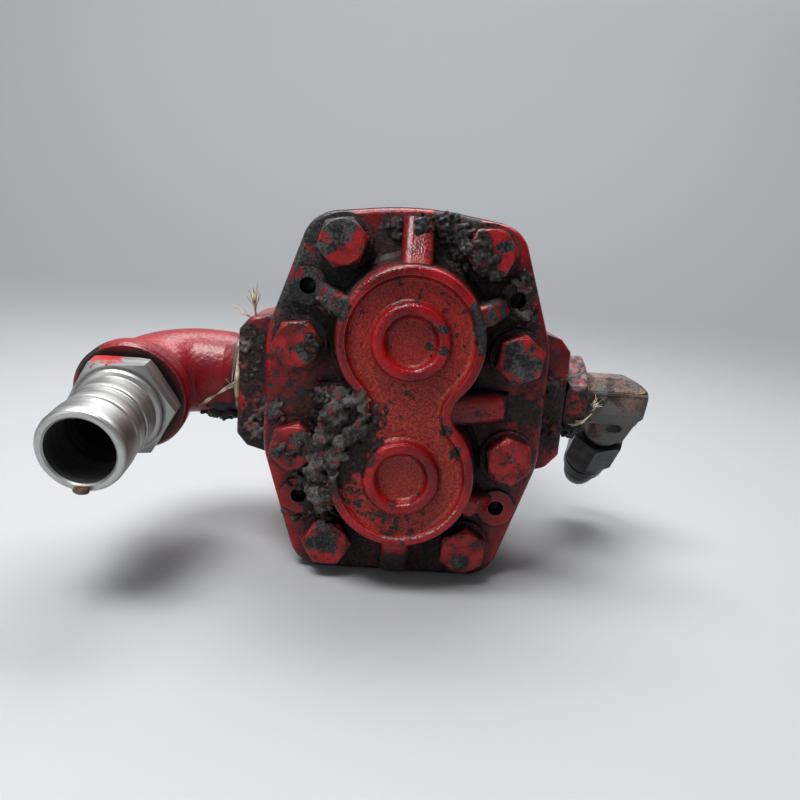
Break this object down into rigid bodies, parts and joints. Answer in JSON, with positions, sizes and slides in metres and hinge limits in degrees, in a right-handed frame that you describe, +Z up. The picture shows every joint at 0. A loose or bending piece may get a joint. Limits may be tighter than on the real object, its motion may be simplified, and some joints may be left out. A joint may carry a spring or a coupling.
{
  "type": "hydraulic gear pump",
  "caption": "Cast-iron external gear pump with a flange mount, splined drive shaft, figure-of-eight rear cover, suction bend with hose tail and a pressure elbow.",
  "frame": {"origin": "centre of the mounting face on the drive shaft's axis, at the root of the pilot", "axes": "+Y out of the pump along the drive shaft, +X to the pressure side, +Z up; the rear cover faces -Y and the driven gear lies below the drive gear"},
  "size_m": [0.3037, 0.2512, 0.1903],
  "materials": {
    "casting_paint": "gloss red enamel over sand-cast iron, chipped and oily",
    "bolt_steel": "red paint worn to dark steel on the hexagons",
    "elbow_paint": "bright gloss red enamel on a malleable casting",
    "plated_steel": "satin zinc plate, turned",
    "adapter_steel": "thin red paint over plated steel",
    "forged_steel": "forged steel with a brown oxide skin",
    "nut_steel": "black phosphate, oily",
    "gear_steel": "case-hardened and ground",
    "ground_steel": "ground",
    "spring_steel": "phosphated spring steel",
    "bush_bronze": "bored bronze",
    "plate_bronze": "lapped bronze",
    "seal_rubber": "matt nitrile",
    "hemp": "straw-coloured fibre soaked in jointing paste"
  },
  "bodies": {
    "pump": {"rear_cover": "casting_paint", "gear_housing": "casting_paint", "front_cover": "casting_paint", "cover_bolts": "bolt_steel", "rear_dowel_pins": "ground_steel", "front_dowel_pins": "ground_steel", "rear_body_seal": "seal_rubber", "front_body_seal": "seal_rubber", "rear_thrust_plate": "plate_bronze", "front_thrust_plate": "plate_bronze", "rear_plate_seal": "seal_rubber", "front_plate_seal": "seal_rubber", "rear_drive_bush": "bush_bronze", "rear_driven_bush": "bush_bronze", "front_drive_bush": "bush_bronze", "front_driven_bush": "bush_bronze", "inner_shaft_seal": "seal_rubber", "seal_spacer": "ground_steel", "outer_shaft_seal": "seal_rubber", "seal_circlip": "spring_steel", "suction_elbow": "elbow_paint", "hose_tail": "plated_steel", "inlet_hemp": "hemp", "pressure_adapter": "adapter_steel", "pressure_elbow": "forged_steel", "union_nut": "nut_steel", "outlet_nipple": "nut_steel", "outlet_hemp": "hemp"},
    "drive": {"drive_gear_shaft": "gear_steel"},
    "driven": {"driven_gear_shaft": "gear_steel"}
  },
  "joints": [
    {"name": "drive_spin", "type": "hinge", "parent": "pump", "child": "drive", "pos_m": [0, 0, 0], "axis": [0, 1, 0], "continuous": true},
    {"name": "driven_spin", "type": "hinge", "parent": "pump", "child": "driven", "pos_m": [0, 0, -0.066], "axis": [0, 1, 0], "continuous": true}
  ],
  "couplings": [
    {"joint": "driven_spin", "follows": "drive_spin", "ratio": -1}
  ]
}
